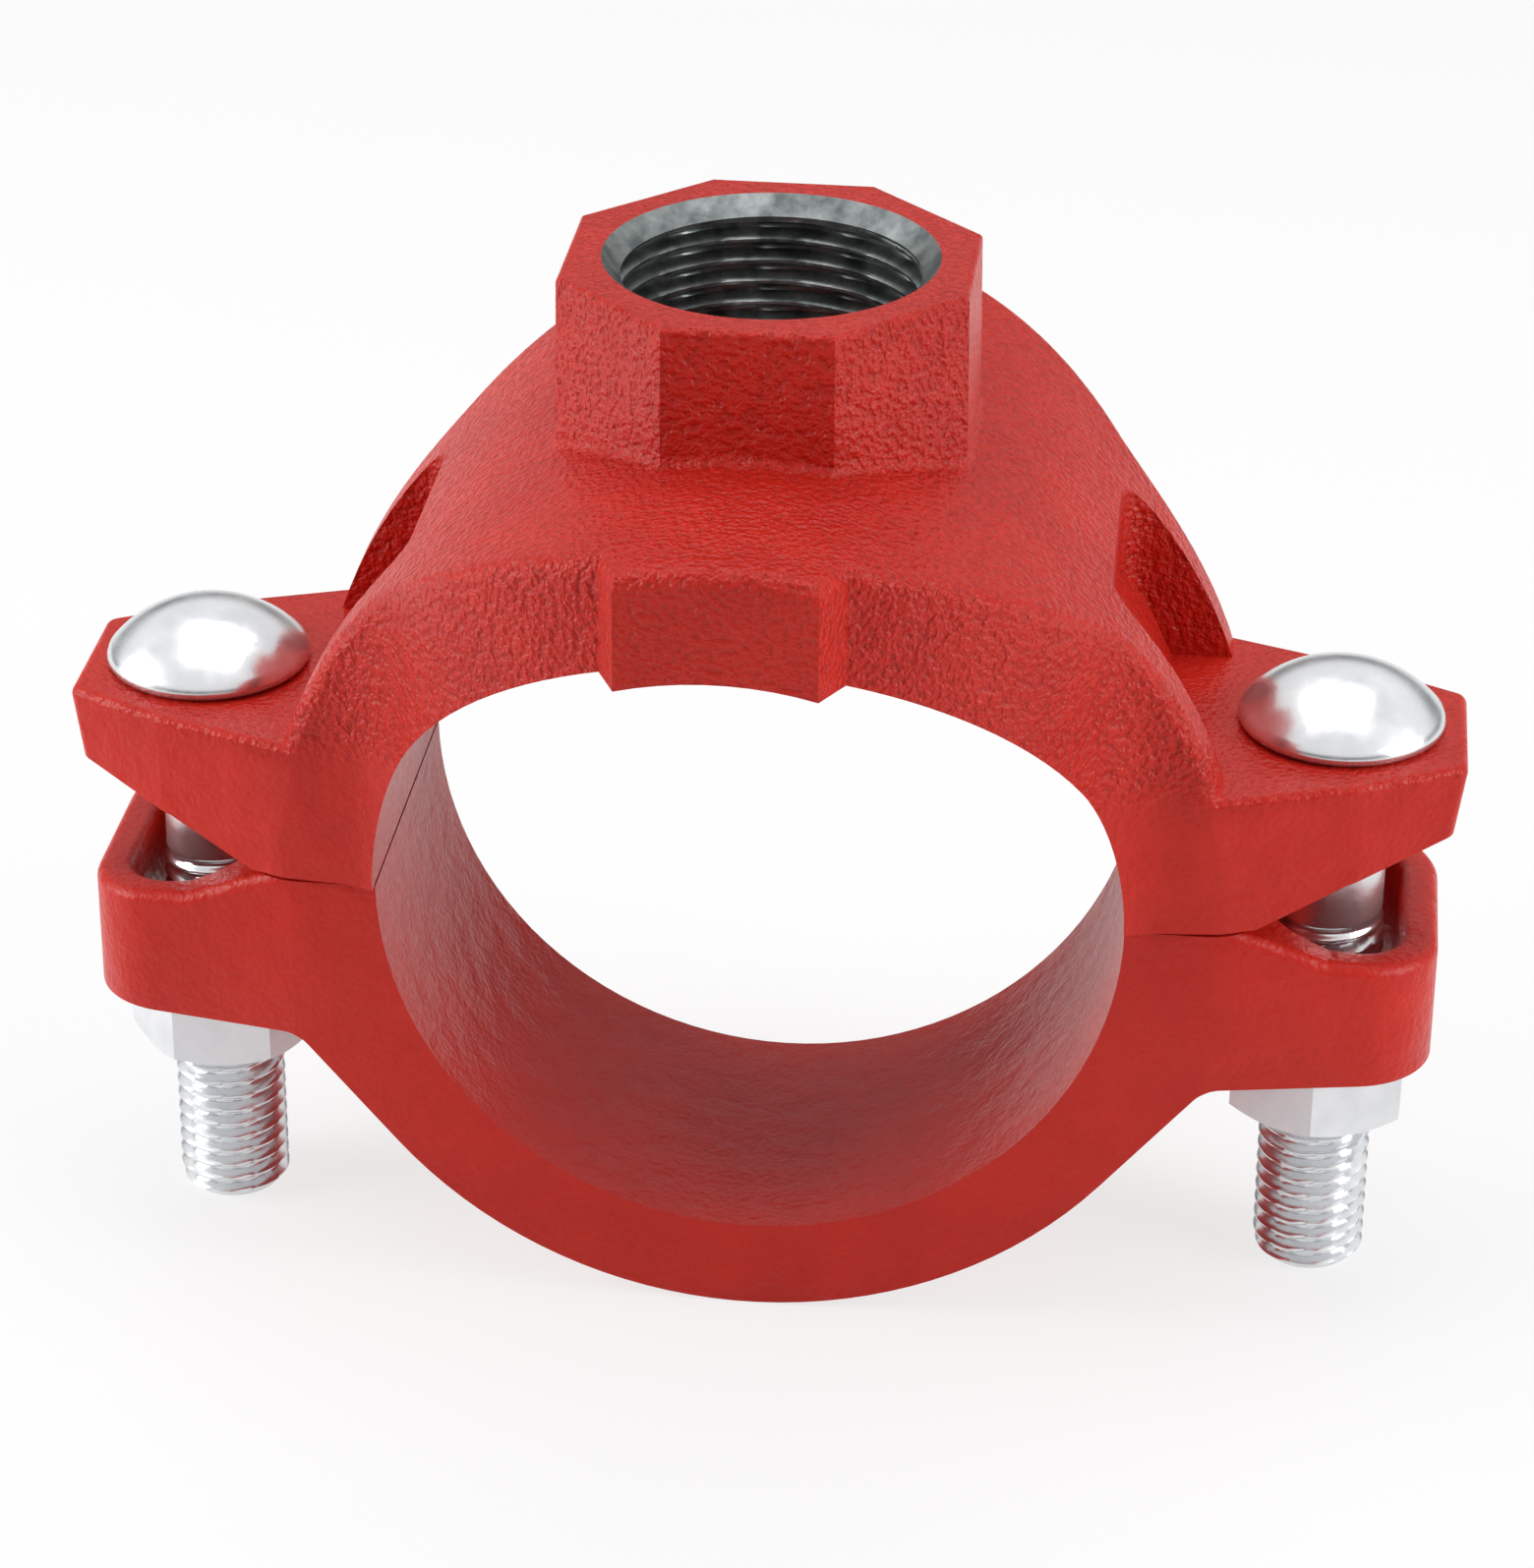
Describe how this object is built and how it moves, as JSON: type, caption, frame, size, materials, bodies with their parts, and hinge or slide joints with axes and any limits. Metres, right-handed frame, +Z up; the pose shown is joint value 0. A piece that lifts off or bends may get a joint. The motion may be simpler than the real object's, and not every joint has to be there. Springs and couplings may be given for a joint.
{
  "type": "mechanical tee",
  "caption": "Bolt-on pipe saddle clamp: red cast housing with an octagonal female threaded outlet, a half-round lower clamp, round-head bolts, hex nuts and a rubber gasket.",
  "frame": {"origin": "where the run pipe's axis crosses the outlet's axis", "axes": "+Z up the outlet, +Y along the run pipe, +X across to the right-hand bolt"},
  "size_m": [0.145, 0.091, 0.1127],
  "materials": {
    "red_enamel": "red enamel over cast iron",
    "black_rubber": "moulded, matt",
    "zinc_bolt": "bright zinc plate",
    "zinc_nut": "pale zinc plate"
  },
  "bodies": {
    "upper": {"upper_housing": "red_enamel", "gasket": "black_rubber", "bolt_left": "zinc_bolt", "bolt_right": "zinc_bolt"},
    "lower": {"lower_housing": "red_enamel"},
    "left_nut": {"nut_left": "zinc_nut"},
    "right_nut": {"nut_right": "zinc_nut"}
  },
  "joints": [
    {"name": "lower_housing_slide", "type": "slide", "parent": "upper", "child": "lower", "axis": [0, 0, -1], "range_m": [0, 0.0175]},
    {"name": "nut_left_turn", "type": "hinge", "parent": "lower", "child": "left_nut", "pos_m": [-0.0595, 0, -0.0239], "axis": [0, 0, -1], "range_deg": [0, 3600]},
    {"name": "nut_right_turn", "type": "hinge", "parent": "lower", "child": "right_nut", "pos_m": [0.0595, 0, -0.0239], "axis": [0, 0, -1], "range_deg": [0, 3600]}
  ],
  "couplings": [
    {"joint": "nut_left_turn", "follows": "lower_housing_slide", "rad_per_m": 3590.4},
    {"joint": "nut_right_turn", "follows": "lower_housing_slide", "rad_per_m": 3590.4}
  ]
}
